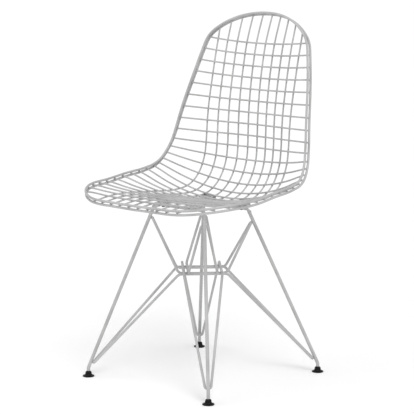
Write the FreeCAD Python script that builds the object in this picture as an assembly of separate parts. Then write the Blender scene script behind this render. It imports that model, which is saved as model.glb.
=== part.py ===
import FreeCAD, Part
import math
import os

# Wire mesh chair: a double-rimmed wire bucket seat screwed to two leg hoops with crossed struts.
# Millimetres and degrees. +Z up, the sitter faces -Y, the floor is z = 0 and x = 0 is the symmetry plane.
# s is the distance along the seat's side profile, from the top of the back to the front edge.
# x is the distance across. Both are measured in the flat pattern that the shell is formed from.

Vec = FreeCAD.Vector

# Overall places
OVERALL_HEIGHT = 837.0
BACK_TOP_Y = 231.4

# Side profile of the shell: arcs that meet tangentially, as lengths and the lean where each one ends.
# The lean is the angle between the profile and straight down, growing as the profile turns to the front.
LEAN_AT_TOP = 29.3
CREST_LENGTH = 74.6
LEAN_BELOW_CREST = 14.6
BACK_LENGTH = 214.1
LEAN_BELOW_BACK = 1.0
LUMBAR_LENGTH = 39.7
LEAN_BELOW_LUMBAR = 3.8
TUCK_ENTRY_LENGTH = 70.3
LEAN_IN_TUCK = 36.0
TUCK_LENGTH = 83.0
LEAN_AFTER_TUCK = 85.1
HOLLOW_LENGTH = 72.4
LEAN_AFTER_HOLLOW = 100.1
THIGH_LENGTH = 119.7
LEAN_AFTER_THIGH = 97.8
FRONT_ROLL_LENGTH = 123.9
LEAN_AT_FRONT = 78.2

# How far the sides curl up, and how far they sweep along the profile, at CURL_REACH from the middle
CURL_REACH = 230.5
CURL_STATIONS = (0.0, 0.18, 0.34, 0.46, 0.56, 0.68, 0.82, 1.0)
CURL_HEIGHTS = (26.4, 27.4, 51.5, 68.9, 67.1, 47.2, 17.3, -0.4)
SWEEP_STATIONS = (0.0, 0.30, 0.46, 0.60, 0.75, 1.0)
SWEEP_SHIFTS = (-24.2, -3.9, -9.5, 3.3, 5.6, -21.3)
BACK_CURL_POWER = 1.55
SEAT_CURL_POWER = 2.04
POWER_CHANGE_START = 0.30
POWER_CHANGE_END = 0.60
SWEEP_POWER = 2.5

# Flat pattern of the rim: a crown arc, two long side arcs that it would meet at the shoulders, and a
# straight front, with rounded corners
SHOULDER_AT = 74.6
SHOULDER_HALF_WIDTH = 153.86
CROWN_CORNER_RADIUS = 67.0
SIDE_HALF_WIDTH = 231.4
WIDEST_AT = 640.0
FRONT_CORNER_RADIUS = 126.0

# Wires of the shell
RIM_WIRE = 5.5
MESH_WIRE = 4.0
WELD_SINK = 0.15
LONG_WIRES = 10
LONG_PITCH = 28.15
FIRST_CROSS = 74.6
BACK_CROSS_WIRES = 10
BACK_CROSS_PITCH = 27.3
TUCK_CROSS_WIRES = 5
TUCK_CROSS_PITCH = 31.6
SEAT_CROSS_WIRES = 10
SEAT_CROSS_PITCH = 27.95
END_BLEND = 22.0
END_STANDOUT = 1.5

# Leg hoops
HOOP_WIRE = 8.0
BASE_Y = 1.4
FOOT_X = 187.0
FOOT_Y = 194.0
FRONT_BAR_Y = -83.0
FRONT_BAR_HALF = 76.0
REAR_BAR_Y = 77.0
REAR_BAR_HALF = 68.4
ANKLE_Z = 21.0
ANKLE_RADIUS = 18.0
SHOULDER_RADIUS = 14.0

# Crossed struts: two closed loops along each diagonal, crossing in the middle
STRUT_WIRE = 6.0
CROSS_Z = 249.0
CROSS_Y = -6.0
LOWER_HALF_GAP = 44.0
UPPER_HALF_GAP = 33.5
FIRST_LOWER_RUN = 56.0
FIRST_UPPER_RUN = 56.0
SECOND_LOWER_RUN = 77.0
SECOND_UPPER_RUN = 68.5
LOWER_WELD_Z = 36.0
UPPER_WELD_DROP = 30.0
STRUT_EYE_HALF = 6.5
STRUT_EYE_RADIUS = 6.2
STRUT_BEND_RADIUS = 15.0

# Seat mounts: a plate welded under two lengthwise wires, a rubber pad, and a screw through a coined
# flat on the hoop into the plate
MOUNT_X = 49.0
FLAT_LENGTH = 19.0
FLAT_WIDTH = 13.0
FLAT_THICKNESS = 4.0
FLAT_CORNER = 3.0
PAD_THICKNESS = 10.0
PAD_WIDTH = 18.0
PAD_LENGTH = 26.0
PLATE_LENGTH = 28.0
PLATE_THICKNESS = 2.5
PLATE_MARGIN = 4.5
PLATE_CORNER = 3.5
PLATE_SEAT = 0.08
SCREW_SHANK = 5.0
SCREW_CLEARANCE = 0.25
SCREW_HEAD = 9.5
SCREW_HEAD_HEIGHT = 2.8
SCREW_STANDOUT = 1.0
KEY_SIZE = 3.0
KEY_DEPTH = 1.6

# Feet: a ball stud pressed in each leg end, and a glide that tilts on the ball
GLIDE_RADIUS = 13.5
GLIDE_HEIGHT = 12.6
GLIDE_RIM_HEIGHT = 2.2
GLIDE_NECK_RADIUS = 7.4
GLIDE_NECK_Z = 6.6
GLIDE_MOUTH_RADIUS = 3.7
BALL_RADIUS = 4.5
BALL_CLEARANCE = 0.06
BALL_RINGS = 5
BALL_FLOOR = 1.6
STUD_NECK_RADIUS = 2.6
STUD_SHANK_RADIUS = 2.0
STUD_SHANK_LENGTH = 8.0
LEG_GAP = 0.7

# Flat sides of the wires, bores and turned pieces, and the longest run and sharpest turn between sections
MESH_SIDES = 6
RIM_SIDES = 8
STRUT_SIDES = 8
HOOP_SIDES = 8
GLIDE_SIDES = 14
STUD_SIDES = 8
SCREW_SIDES = 12
RUN_LENGTH = 60.0
RUN_TURN = 11.0
SKIP_TURN = 4.0
CROWN_RUNS = 5
CROWN_CORNER_RUNS = 5
FRONT_CORNER_RUNS = 8
BEND_TURN = 31.0
PROBE = 0.5
FLATNESS = 1e-7

ARC_LENGTHS = (CREST_LENGTH, BACK_LENGTH, LUMBAR_LENGTH, TUCK_ENTRY_LENGTH,
               TUCK_LENGTH, HOLLOW_LENGTH, THIGH_LENGTH, FRONT_ROLL_LENGTH)
ARC_LEANS = (LEAN_AT_TOP, LEAN_BELOW_CREST, LEAN_BELOW_BACK, LEAN_BELOW_LUMBAR, LEAN_IN_TUCK,
             LEAN_AFTER_TUCK, LEAN_AFTER_HOLLOW, LEAN_AFTER_THIGH, LEAN_AT_FRONT)
PROFILE_LENGTH = sum(ARC_LENGTHS)
LAYER = (MESH_WIRE - WELD_SINK) / 2
RIM_OFFSET = (MESH_WIRE + RIM_WIRE) / 2 - WELD_SINK
TIP = LAYER * END_STANDOUT / (END_BLEND - END_STANDOUT)
CROWN_RADIUS = (SHOULDER_HALF_WIDTH ** 2 + SHOULDER_AT ** 2) / (2 * SHOULDER_AT)
SIDE_BULGE = SIDE_HALF_WIDTH - SHOULDER_HALF_WIDTH
SIDE_RADIUS = ((WIDEST_AT - SHOULDER_AT) ** 2 + SIDE_BULGE ** 2) / (2 * SIDE_BULGE)
FRONT_FOOT_Y = BASE_Y - FOOT_Y
REAR_FOOT_Y = BASE_Y + FOOT_Y


# Smooth curve through values at stations: cubic pieces whose slopes are averaged from their neighbours
def eased(stations, values, q):
    q = min(max(q, stations[0]), stations[-1])
    last = len(stations) - 1
    slopes = []
    for k in range(last + 1):
        a = max(k - 1, 0)
        b = min(k + 1, last)
        slopes.append((values[b] - values[a]) / (stations[b] - stations[a]))
    k = 0
    while k < last - 1 and q > stations[k + 1]:
        k += 1
    span = stations[k + 1] - stations[k]
    t = (q - stations[k]) / span
    start = (1 + 2 * t) * (1 - t) ** 2 * values[k] + t * (1 - t) ** 2 * span * slopes[k]
    end = t * t * (3 - 2 * t) * values[k + 1] + t * t * (t - 1) * span * slopes[k + 1]
    return start + end


# Point (y, z) and lean of the side profile at distance s
def profile(s):
    y = BACK_TOP_Y
    z = OVERALL_HEIGHT - RIM_WIRE / 2 - RIM_OFFSET * math.sin(math.radians(LEAN_AT_TOP))
    left = s
    for k, length in enumerate(ARC_LENGTHS):
        lean = math.radians(ARC_LEANS[k])
        turn = math.radians(ARC_LEANS[k + 1]) - lean
        step = left if k == len(ARC_LENGTHS) - 1 else min(left, length)
        if left < 0:
            step = left
        end = lean + turn * step / length
        chord = step * math.sin((end - lean) / 2) / ((end - lean) / 2) if abs(end - lean) > 1e-9 else step
        middle = (lean + end) / 2
        y -= chord * math.sin(middle)
        z -= chord * math.cos(middle)
        left -= step
        if abs(left) < 1e-9:
            break
    return y, z, end


# Point of the formed shell for a point of the flat pattern
def formed(s, x):
    y, z, lean = profile(s)
    q = s / PROFILE_LENGTH
    share = min(max((q - POWER_CHANGE_START) / (POWER_CHANGE_END - POWER_CHANGE_START), 0.0), 1.0)
    power = BACK_CURL_POWER + (SEAT_CURL_POWER - BACK_CURL_POWER) * share
    reach = abs(x) / CURL_REACH
    curl = eased(CURL_STATIONS, CURL_HEIGHTS, q) * reach ** power
    sweep = eased(SWEEP_STATIONS, SWEEP_SHIFTS, q) * reach ** SWEEP_POWER
    along = Vec(0, -math.sin(lean), -math.cos(lean))
    inward = Vec(0, -math.cos(lean), math.sin(lean))
    return Vec(x, y, z) + inward * curl + along * sweep


# Direction square to the shell, on the sitter's side
def facing(s, x):
    down = formed(s + PROBE, x) - formed(s - PROBE, x)
    across = formed(s, x + PROBE) - formed(s, x - PROBE)
    normal = across.cross(down)
    return normal.normalize() * -1


# Point at a height above the shell's middle surface
def lifted(s, x, height):
    return formed(s, x) + facing(s, x) * height


# Centre of a corner arc that is tangent to two larger arcs inside them
def corner_centre(centre_a, radius_a, centre_b, radius_b, upper):
    dx = centre_b[0] - centre_a[0]
    ds = centre_b[1] - centre_a[1]
    gap = math.hypot(dx, ds)
    along = (radius_a ** 2 - radius_b ** 2 + gap ** 2) / (2 * gap)
    aside = math.sqrt(radius_a ** 2 - along ** 2)
    sign = 1 if upper else -1
    px = centre_a[0] + (along * dx + sign * aside * ds) / gap
    ps = centre_a[1] + (along * ds - sign * aside * dx) / gap
    return px, ps


SIDE_CENTRE = (SIDE_HALF_WIDTH - SIDE_RADIUS, WIDEST_AT)
CROWN_CENTRE = (0.0, CROWN_RADIUS)
TOP_CORNER = corner_centre(CROWN_CENTRE, CROWN_RADIUS - CROWN_CORNER_RADIUS,
                           SIDE_CENTRE, SIDE_RADIUS - CROWN_CORNER_RADIUS, False)


# Centre of the front corner arc: tangent to the side arc and to the straight front edge
def front_corner_centre():
    s = PROFILE_LENGTH - FRONT_CORNER_RADIUS
    reach = SIDE_RADIUS - FRONT_CORNER_RADIUS
    return SIDE_CENTRE[0] + math.sqrt(reach ** 2 - (s - WIDEST_AT) ** 2), s


FRONT_CORNER = front_corner_centre()


# Place where an arc leaves its corner arc, on the line through both centres
def leaving(centre, corner, radius):
    dx = corner[0] - centre[0]
    ds = corner[1] - centre[1]
    gap = math.hypot(dx, ds)
    return centre[0] + radius * dx / gap, centre[1] + radius * ds / gap


CROWN_END = leaving(CROWN_CENTRE, TOP_CORNER, CROWN_RADIUS)
SIDE_START = leaving(SIDE_CENTRE, TOP_CORNER, SIDE_RADIUS)
SIDE_END = leaving(SIDE_CENTRE, FRONT_CORNER, SIDE_RADIUS)


# Half width of the flat pattern at distance s
def half_width(s):
    if s < CROWN_END[1]:
        return math.sqrt(CROWN_RADIUS ** 2 - (s - CROWN_CENTRE[1]) ** 2)
    if s < SIDE_START[1]:
        return TOP_CORNER[0] + math.sqrt(CROWN_CORNER_RADIUS ** 2 - (s - TOP_CORNER[1]) ** 2)
    if s < SIDE_END[1]:
        return SIDE_CENTRE[0] + math.sqrt(SIDE_RADIUS ** 2 - (s - WIDEST_AT) ** 2)
    return FRONT_CORNER[0] + math.sqrt(FRONT_CORNER_RADIUS ** 2 - (s - FRONT_CORNER[1]) ** 2)


# Distance s at which a lengthwise wire starts at the crown
def crown_edge(x):
    if abs(x) < CROWN_END[0]:
        return CROWN_CENTRE[1] - math.sqrt(CROWN_RADIUS ** 2 - x * x)
    return TOP_CORNER[1] - math.sqrt(CROWN_CORNER_RADIUS ** 2 - (abs(x) - TOP_CORNER[0]) ** 2)


# Distance s at which a lengthwise wire ends at the front
def front_edge(x):
    if abs(x) < FRONT_CORNER[0]:
        return PROFILE_LENGTH
    return FRONT_CORNER[1] + math.sqrt(FRONT_CORNER_RADIUS ** 2 - (abs(x) - FRONT_CORNER[0]) ** 2)


# Face between two edges of neighbouring sections: flat where its four corners are, otherwise ruled
def quad(a, b, c, d):
    if abs((b - a).cross(c - a).dot(d - a)) < FLATNESS * (b - a).cross(c - a).Length:
        return Part.Face(Part.makePolygon([a, b, c, d, a]))
    return Part.makeRuledSurface(Part.makeLine(a, b), Part.makeLine(d, c))


# Solid through sections that have the same number of corners, with flat ends or closed on itself
def skinned(sections, closed):
    faces = []
    for one, two in zip(sections, sections[1:] + sections[:1] if closed else sections[1:]):
        for n in range(len(one)):
            m = (n + 1) % len(one)
            faces.append(quad(one[n], one[m], two[m], two[n]))
    if not closed:
        for section in (sections[0], sections[-1]):
            faces.append(Part.Face(Part.makePolygon(section + section[:1])))
    solid = Part.makeSolid(Part.makeShell(faces))
    if solid.Volume < 0:
        solid.reverse()
    return solid


# Solid of a wire: a regular polygon carried along points, one flat side facing each up direction
def wire_solid(points, ups, diameter, sides, closed=False):
    radius = diameter / 2 / math.cos(math.pi / sides)
    count = len(points)
    sections = []
    for k, point in enumerate(points):
        before = points[k - 1] if k > 0 or closed else point
        after = points[(k + 1) % count] if k < count - 1 or closed else point
        into = (point - before).normalize() if before != point else None
        out = (after - point).normalize() if after != point else None
        along = (into + out).normalize() if into and out else (into or out)
        side = along.cross(ups[k]).normalize()
        up = side.cross(along)
        corners = []
        for n in range(sides):
            angle = 2 * math.pi * (n + 0.5) / sides
            corners.append(point + side * (radius * math.sin(angle)) + up * (radius * math.cos(angle)))
        sections.append(corners)
    return skinned(sections, closed)


# Turned piece on an upright axis: an open outline of (radius, height) carried round in flat sides
def turned(outline, sides):
    angles = [2 * math.pi * n / sides for n in range(sides)]
    sections = []
    for radius, height in outline:
        sections.append([Vec(radius * math.cos(a), radius * math.sin(a), height) for a in angles])
    return skinned(sections, False)


# Cutter for an upright bore, with the flat sides of the piece that goes in it
def bore(radius, foot, length, sides):
    cutter = turned([(radius, 0), (radius, length)], sides)
    cutter.translate(foot)
    return cutter


# Points of a path whose corners are rounded, each bend made of equal small turns
def rounded(corners, radii, closed):
    count = len(corners)
    points = []
    for k, corner in enumerate(corners):
        if radii[k] == 0:
            points.append(corner)
            continue
        back = (corners[k - 1] - corner).normalize()
        ahead = (corners[(k + 1) % count] - corner).normalize()
        turn = math.pi - back.getAngle(ahead)
        reach = radii[k] * math.tan(turn / 2)
        middle = (back + ahead).normalize()
        centre = corner + middle * (radii[k] / math.cos(turn / 2))
        steps = max(2, math.ceil(math.degrees(turn) / BEND_TURN))
        start = corner + back * reach - centre
        for n in range(steps + 1):
            angle = turn * n / steps
            points.append(centre + start * math.cos(angle) - back * (radii[k] * math.sin(angle)))
    return points


# Places of a wire's sections: its crossings, apart from those on straight runs, and more on sharp bends
def section_places(start, crossings, end, turn_between):
    kept = [start]
    for place, after in zip(crossings, crossings[1:] + [end]):
        if after - kept[-1] > RUN_LENGTH or turn_between(kept[-1], after) > SKIP_TURN:
            kept.append(place)
    kept.append(end)
    places = [start]
    for one, two in zip(kept, kept[1:]):
        runs = math.ceil(max(turn_between(one, two) / RUN_TURN, (two - one) / RUN_LENGTH))
        places += [one + (two - one) * n / runs for n in range(1, runs + 1)]
    return places


# Distances of all cross wires along the profile, from the top
def cross_stations():
    stations = [FIRST_CROSS + n * BACK_CROSS_PITCH for n in range(BACK_CROSS_WIRES)]
    stations += [stations[-1] + (n + 1) * TUCK_CROSS_PITCH for n in range(TUCK_CROSS_WIRES)]
    stations += [stations[-1] + (n + 1) * SEAT_CROSS_PITCH for n in range(SEAT_CROSS_WIRES)]
    return stations


# Distances of all lengthwise wires from the middle, from left to right
def long_places():
    return [(n - (LONG_WIRES - 1) / 2) * LONG_PITCH for n in range(LONG_WIRES)]


# Those of some places that lie well inside a span
def well_inside(places, start, end):
    return [place for place in places if start + END_BLEND / 2 < place < end - END_BLEND / 2]


# Turn in degrees of the shell's surface between two of its points
def turn_of(one, two):
    return math.degrees(facing(*one).getAngle(facing(*two)))


# Lengthwise wire at distance x from the middle, on the outer side of the cross wires
def long_wire(x):
    start = crown_edge(x) - END_STANDOUT
    end = front_edge(x) + END_STANDOUT
    first = start + END_BLEND
    last = end - END_BLEND
    crossings = well_inside(cross_stations(), first, last)
    stations = section_places(first, crossings, last, lambda a, b: turn_of((a, x), (b, x)))
    points = [lifted(start, x, TIP)] + [lifted(s, x, -LAYER) for s in stations] + [lifted(end, x, TIP)]
    ups = [facing(s, x) for s in [start] + stations + [end]]
    return wire_solid(points, ups, MESH_WIRE, MESH_SIDES)


# Cross wire at distance s along the profile, on the sitter's side
def cross_wire(s):
    end = half_width(s) + END_STANDOUT
    last = end - END_BLEND
    first = LONG_PITCH / 2
    crossings = well_inside([x for x in long_places() if x > first + 1], 0, last)
    half = section_places(first, crossings, last, lambda a, b: turn_of((s, a), (s, b)))
    places = [-x for x in reversed(half)] + half
    points = [lifted(s, -end, -TIP)] + [lifted(s, x, LAYER) for x in places] + [lifted(s, end, -TIP)]
    ups = [facing(s, x) for x in [-end] + places + [end]]
    return wire_solid(points, ups, MESH_WIRE, MESH_SIDES)


# Half of the flat pattern's outline as (s, x), from the middle of the crown to the middle of the front
def half_outline():
    outline = []
    crown_turn = math.atan2(CROWN_END[0], CROWN_CENTRE[1] - CROWN_END[1])
    for n in range(CROWN_RUNS):
        angle = crown_turn * n / CROWN_RUNS
        outline.append((CROWN_CENTRE[1] - CROWN_RADIUS * math.cos(angle), CROWN_RADIUS * math.sin(angle)))
    corner_end = math.atan2(SIDE_START[0] - TOP_CORNER[0], TOP_CORNER[1] - SIDE_START[1])
    for n in range(CROWN_CORNER_RUNS):
        angle = crown_turn + (corner_end - crown_turn) * n / CROWN_CORNER_RUNS
        outline.append((TOP_CORNER[1] - CROWN_CORNER_RADIUS * math.cos(angle),
                        TOP_CORNER[0] + CROWN_CORNER_RADIUS * math.sin(angle)))
    sides = [SIDE_START[1]] + well_inside(cross_stations(), SIDE_START[1], SIDE_END[1]) + [SIDE_END[1]]
    outline += [(s, half_width(s)) for s in sides]
    front_start = math.atan2(SIDE_END[1] - FRONT_CORNER[1], SIDE_END[0] - FRONT_CORNER[0])
    for n in range(1, FRONT_CORNER_RUNS + 1):
        angle = front_start + (math.pi / 2 - front_start) * n / FRONT_CORNER_RUNS
        outline.append((FRONT_CORNER[1] + FRONT_CORNER_RADIUS * math.sin(angle),
                        FRONT_CORNER[0] + FRONT_CORNER_RADIUS * math.cos(angle)))
    outline.append((PROFILE_LENGTH, 0.0))
    return outline


# Closed rim wire at a height above the shell's middle surface
def rim_wire(height):
    half = half_outline()
    loop = half + [(s, -x) for s, x in reversed(half[1:-1])]
    points = [lifted(s, x, height) for s, x in loop]
    ups = [facing(s, x) for s, x in loop]
    return wire_solid(points, ups, RIM_WIRE, RIM_SIDES, True)


# Distance along the profile where the seat's surface passes a given y, at distance x from the middle
def seat_station(y, x):
    low = CREST_LENGTH + BACK_LENGTH + LUMBAR_LENGTH + TUCK_ENTRY_LENGTH
    high = PROFILE_LENGTH
    for _ in range(40):
        middle = (low + high) / 2
        if formed(middle, x).y > y:
            low = middle
        else:
            high = middle
    return (low + high) / 2


# The two neighbouring lengthwise wires that a mount plate joins, as distances from the middle
def plate_wires():
    inner = LONG_PITCH * (0.5 + math.floor(MOUNT_X / LONG_PITCH - 0.5))
    return inner, inner + LONG_PITCH


# Frame of a mount plate: the middle of its top, and its directions across and square to it
def plate_frame(side, bar_y):
    low = []
    for x in plate_wires():
        low.append(lifted(seat_station(bar_y, x), side * x, -LAYER - MESH_WIRE / 2 - PLATE_SEAT))
    middle = side * sum(plate_wires()) / 2
    s = seat_station(bar_y, middle)
    along = formed(s + PROBE, middle) - formed(s - PROBE, middle)
    across = (low[1] - low[0]).normalize() * side
    return (low[0] + low[1]) * 0.5, across, along.cross(across).normalize()


# Height of a mount plate's underside over a point
def plate_underside(side, bar_y, x, y):
    origin, _, up = plate_frame(side, bar_y)
    low = origin - up * PLATE_THICKNESS
    return low.z - ((x - low.x) * up.x + (y - low.y) * up.y) / up.z


# Height of a hoop's bar, set by the pad between it and its mount plates
def bar_height(bar_y):
    return plate_underside(1, bar_y, MOUNT_X, bar_y) - PAD_THICKNESS - FLAT_THICKNESS / 2


# Centre line corners of a leg hoop: foot, ankle, shoulder, and back down on the other side
def hoop_corners(foot_y, bar_y, bar_half):
    top = bar_height(bar_y)
    end = GLIDE_HEIGHT + LEG_GAP
    corners = [Vec(-FOOT_X, foot_y, end), Vec(-FOOT_X, foot_y, ANKLE_Z), Vec(-bar_half, bar_y, top)]
    return corners + [Vec(-c.x, c.y, c.z) for c in reversed(corners)]


# Leg hoop with a coined, drilled flat at each mount and a bore for a ball stud in each leg end
def leg_hoop(foot_y, bar_y, bar_half):
    corners = hoop_corners(foot_y, bar_y, bar_half)
    radii = [0, ANKLE_RADIUS, SHOULDER_RADIUS, SHOULDER_RADIUS, ANKLE_RADIUS, 0]
    points = rounded(corners, radii, False)
    hoop = wire_solid(points, [Vec(0, 1, 0)] * len(points), HOOP_WIRE, HOOP_SIDES)
    top = bar_height(bar_y)
    for side in (-1, 1):
        middle = Vec(side * MOUNT_X, bar_y, top)
        gap = Part.makeBox(FLAT_LENGTH, 2 * HOOP_WIRE, 2 * HOOP_WIRE,
                           middle - Vec(FLAT_LENGTH / 2, HOOP_WIRE, HOOP_WIRE))
        flat = Part.makeBox(FLAT_LENGTH, FLAT_WIDTH, FLAT_THICKNESS,
                            middle - Vec(FLAT_LENGTH / 2, FLAT_WIDTH / 2, FLAT_THICKNESS / 2))
        upright = [edge for edge in flat.Edges if abs(edge.Vertexes[0].Z - edge.Vertexes[1].Z) > 1]
        flat = flat.makeChamfer(FLAT_CORNER, upright)
        hoop = hoop.cut(gap).fuse(flat).cut(screw_hole(side, bar_y, SCREW_SHANK / 2 + SCREW_CLEARANCE))
        leg_end = Vec(side * FOOT_X, foot_y, GLIDE_HEIGHT + LEG_GAP)
        hoop = hoop.cut(bore(STUD_SHANK_RADIUS, leg_end, STUD_SHANK_LENGTH, STUD_SIDES))
    return hoop


# Point on a leg's straight part at a height, with the leg's direction
def on_leg(side, foot_y, bar_y, bar_half, height):
    low = Vec(side * FOOT_X, foot_y, ANKLE_Z)
    high = Vec(side * bar_half, bar_y, bar_height(bar_y))
    along = (high - low).normalize()
    return low + along * ((height - low.z) / along.z), along


# Closed strut loop along one diagonal, an eye welded inside each of its two legs
def strut_loop(front_side, rear_side, half_gap, half_run, height, front_weld, rear_weld):
    across_feet = Vec(rear_side * FOOT_X, REAR_FOOT_Y, 0) - Vec(front_side * FOOT_X, FRONT_FOOT_Y, 0)
    ahead = across_feet.normalize()
    aside = Vec(-ahead.y, ahead.x, 0)
    middle = Vec(0, BASE_Y + CROSS_Y, height)
    legs = (on_leg(front_side, FRONT_FOOT_Y, BASE_Y + FRONT_BAR_Y, FRONT_BAR_HALF, front_weld),
            on_leg(rear_side, REAR_FOOT_Y, BASE_Y + REAR_BAR_Y, REAR_BAR_HALF, rear_weld))
    corners = []
    faces_up = []
    for sign, (axis_point, along) in zip((-1, 1), legs):
        inward = along.cross(aside).normalize()
        if inward.dot(ahead) * sign > 0:
            inward = inward * -1
        eye = axis_point + inward * ((HOOP_WIRE + STRUT_WIRE) / 2 - WELD_SINK)
        run_end = middle + ahead * (sign * half_run)
        corners += [run_end - aside * (sign * half_gap), eye - aside * (sign * STRUT_EYE_HALF),
                    eye + aside * (sign * STRUT_EYE_HALF), run_end + aside * (sign * half_gap)]
        faces_up.append((eye - run_end).cross(aside).normalize() * sign)
    bends = [STRUT_BEND_RADIUS, STRUT_EYE_RADIUS, STRUT_EYE_RADIUS, STRUT_BEND_RADIUS] * 2
    points = rounded(corners, bends, True)
    ups = []
    for point in points:
        reach = (point - middle).dot(ahead)
        ups.append(Vec(0, 0, 1) if abs(reach) < half_run else faces_up[0 if reach < 0 else 1])
    return wire_solid(points, ups, STRUT_WIRE, STRUT_SIDES, True)


# Upright hole or bore on a mount's screw
def screw_hole(side, bar_y, radius):
    foot = Vec(side * MOUNT_X, bar_y, bar_height(bar_y) - HOOP_WIRE)
    return bore(radius, foot, 2 * HOOP_WIRE + 2 * PAD_THICKNESS, SCREW_SIDES)


# Rubber pad between a hoop's flat and the mount plate over it
def mount_pad(side, bar_y):
    low = bar_height(bar_y) + FLAT_THICKNESS / 2
    corners = []
    for along, across in ((-1, -1), (1, -1), (1, 1), (-1, 1)):
        corners.append((side * MOUNT_X + across * PAD_WIDTH / 2, bar_y + along * PAD_LENGTH / 2))
    block = skinned([[Vec(x, y, low) for x, y in corners],
                     [Vec(x, y, plate_underside(side, bar_y, x, y)) for x, y in corners]], False)
    return block.cut(screw_hole(side, bar_y, SCREW_SHANK / 2 + SCREW_CLEARANCE))


# Mount plate under two lengthwise wires, tapped for the screw
def mount_plate(side, bar_y):
    origin, across, up = plate_frame(side, bar_y)
    inner, outer = plate_wires()
    width = outer - inner + 2 * PLATE_MARGIN
    plate = Part.makeBox(width, PLATE_LENGTH, PLATE_THICKNESS,
                         Vec(-width / 2, -PLATE_LENGTH / 2, -PLATE_THICKNESS))
    upright = [edge for edge in plate.Edges if abs(edge.Vertexes[0].Z - edge.Vertexes[1].Z) > 1e-6]
    plate = plate.makeChamfer(PLATE_CORNER, upright)
    plate.Placement = FreeCAD.Placement(origin, FreeCAD.Rotation(across, up.cross(across), up))
    return plate.cut(screw_hole(side, bar_y, SCREW_SHANK / 2))


# Button head screw from below, with a hexagon socket
def mount_screw(side, bar_y):
    seat = bar_height(bar_y) - FLAT_THICKNESS / 2
    length = FLAT_THICKNESS + PAD_THICKNESS + PLATE_THICKNESS + SCREW_STANDOUT
    radius = SCREW_HEAD / 2
    outline = [(SCREW_SHANK / 2, length), (SCREW_SHANK / 2, 0), (radius, 0),
               (radius * 0.9, -SCREW_HEAD_HEIGHT * 0.5), (radius * 0.6, -SCREW_HEAD_HEIGHT)]
    screw = turned(outline, SCREW_SIDES)
    reach = KEY_SIZE / math.sqrt(3)
    angles = [math.radians(60 * n) for n in range(7)]
    corners = [Vec(reach * math.cos(a), reach * math.sin(a), -SCREW_HEAD_HEIGHT - 1) for a in angles]
    socket = Part.Face(Part.makePolygon(corners)).extrude(Vec(0, 0, KEY_DEPTH + 1))
    screw = screw.cut(socket)
    screw.translate(Vec(side * MOUNT_X, bar_y, seat))
    return screw


# Ball stud in a leg end: shank, neck and ball, turned in one piece, the ball's corners on a sphere
def foot_stud(x, y):
    centre = BALL_FLOOR + BALL_RADIUS
    leg_end = GLIDE_HEIGHT + LEG_GAP
    neck_turn = math.asin(STUD_NECK_RADIUS / BALL_RADIUS)
    last = math.pi - neck_turn
    outline = []
    for n in range(BALL_RINGS + 1):
        angle = neck_turn + (last - neck_turn) * n / BALL_RINGS
        outline.append((BALL_RADIUS * math.sin(angle), centre - BALL_RADIUS * math.cos(angle)))
    outline += [(STUD_NECK_RADIUS, leg_end), (STUD_SHANK_RADIUS, leg_end),
                (STUD_SHANK_RADIUS, leg_end + STUD_SHANK_LENGTH)]
    stud = turned(outline, STUD_SIDES)
    stud.translate(Vec(x, y, 0))
    return stud


# Glide: a flared foot under a rounded neck, with a socket whose flat sides all clear the ball
def glide(x, y):
    centre = BALL_FLOOR + BALL_RADIUS
    socket = BALL_RADIUS + BALL_CLEARANCE
    level = socket * math.tan(math.pi / 8)
    outside = [(GLIDE_RADIUS - 1, 0), (GLIDE_RADIUS, 1), (GLIDE_RADIUS, GLIDE_RIM_HEIGHT),
               (GLIDE_NECK_RADIUS + 1.6, GLIDE_RIM_HEIGHT + 1.2), (GLIDE_NECK_RADIUS, GLIDE_NECK_Z),
               (GLIDE_NECK_RADIUS - 0.8, GLIDE_HEIGHT - 2.4), (GLIDE_MOUTH_RADIUS + 1.2, GLIDE_HEIGHT)]
    inside = [(GLIDE_MOUTH_RADIUS, GLIDE_HEIGHT),
              (GLIDE_MOUTH_RADIUS, centre + level + socket - GLIDE_MOUTH_RADIUS),
              (socket, centre + level), (socket, centre - level), (level, centre - socket)]
    widened = [(radius / math.cos(math.pi / GLIDE_SIDES), height) for radius, height in inside]
    body = turned(outside + widened, GLIDE_SIDES)
    body.translate(Vec(x, y, 0))
    return body


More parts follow.
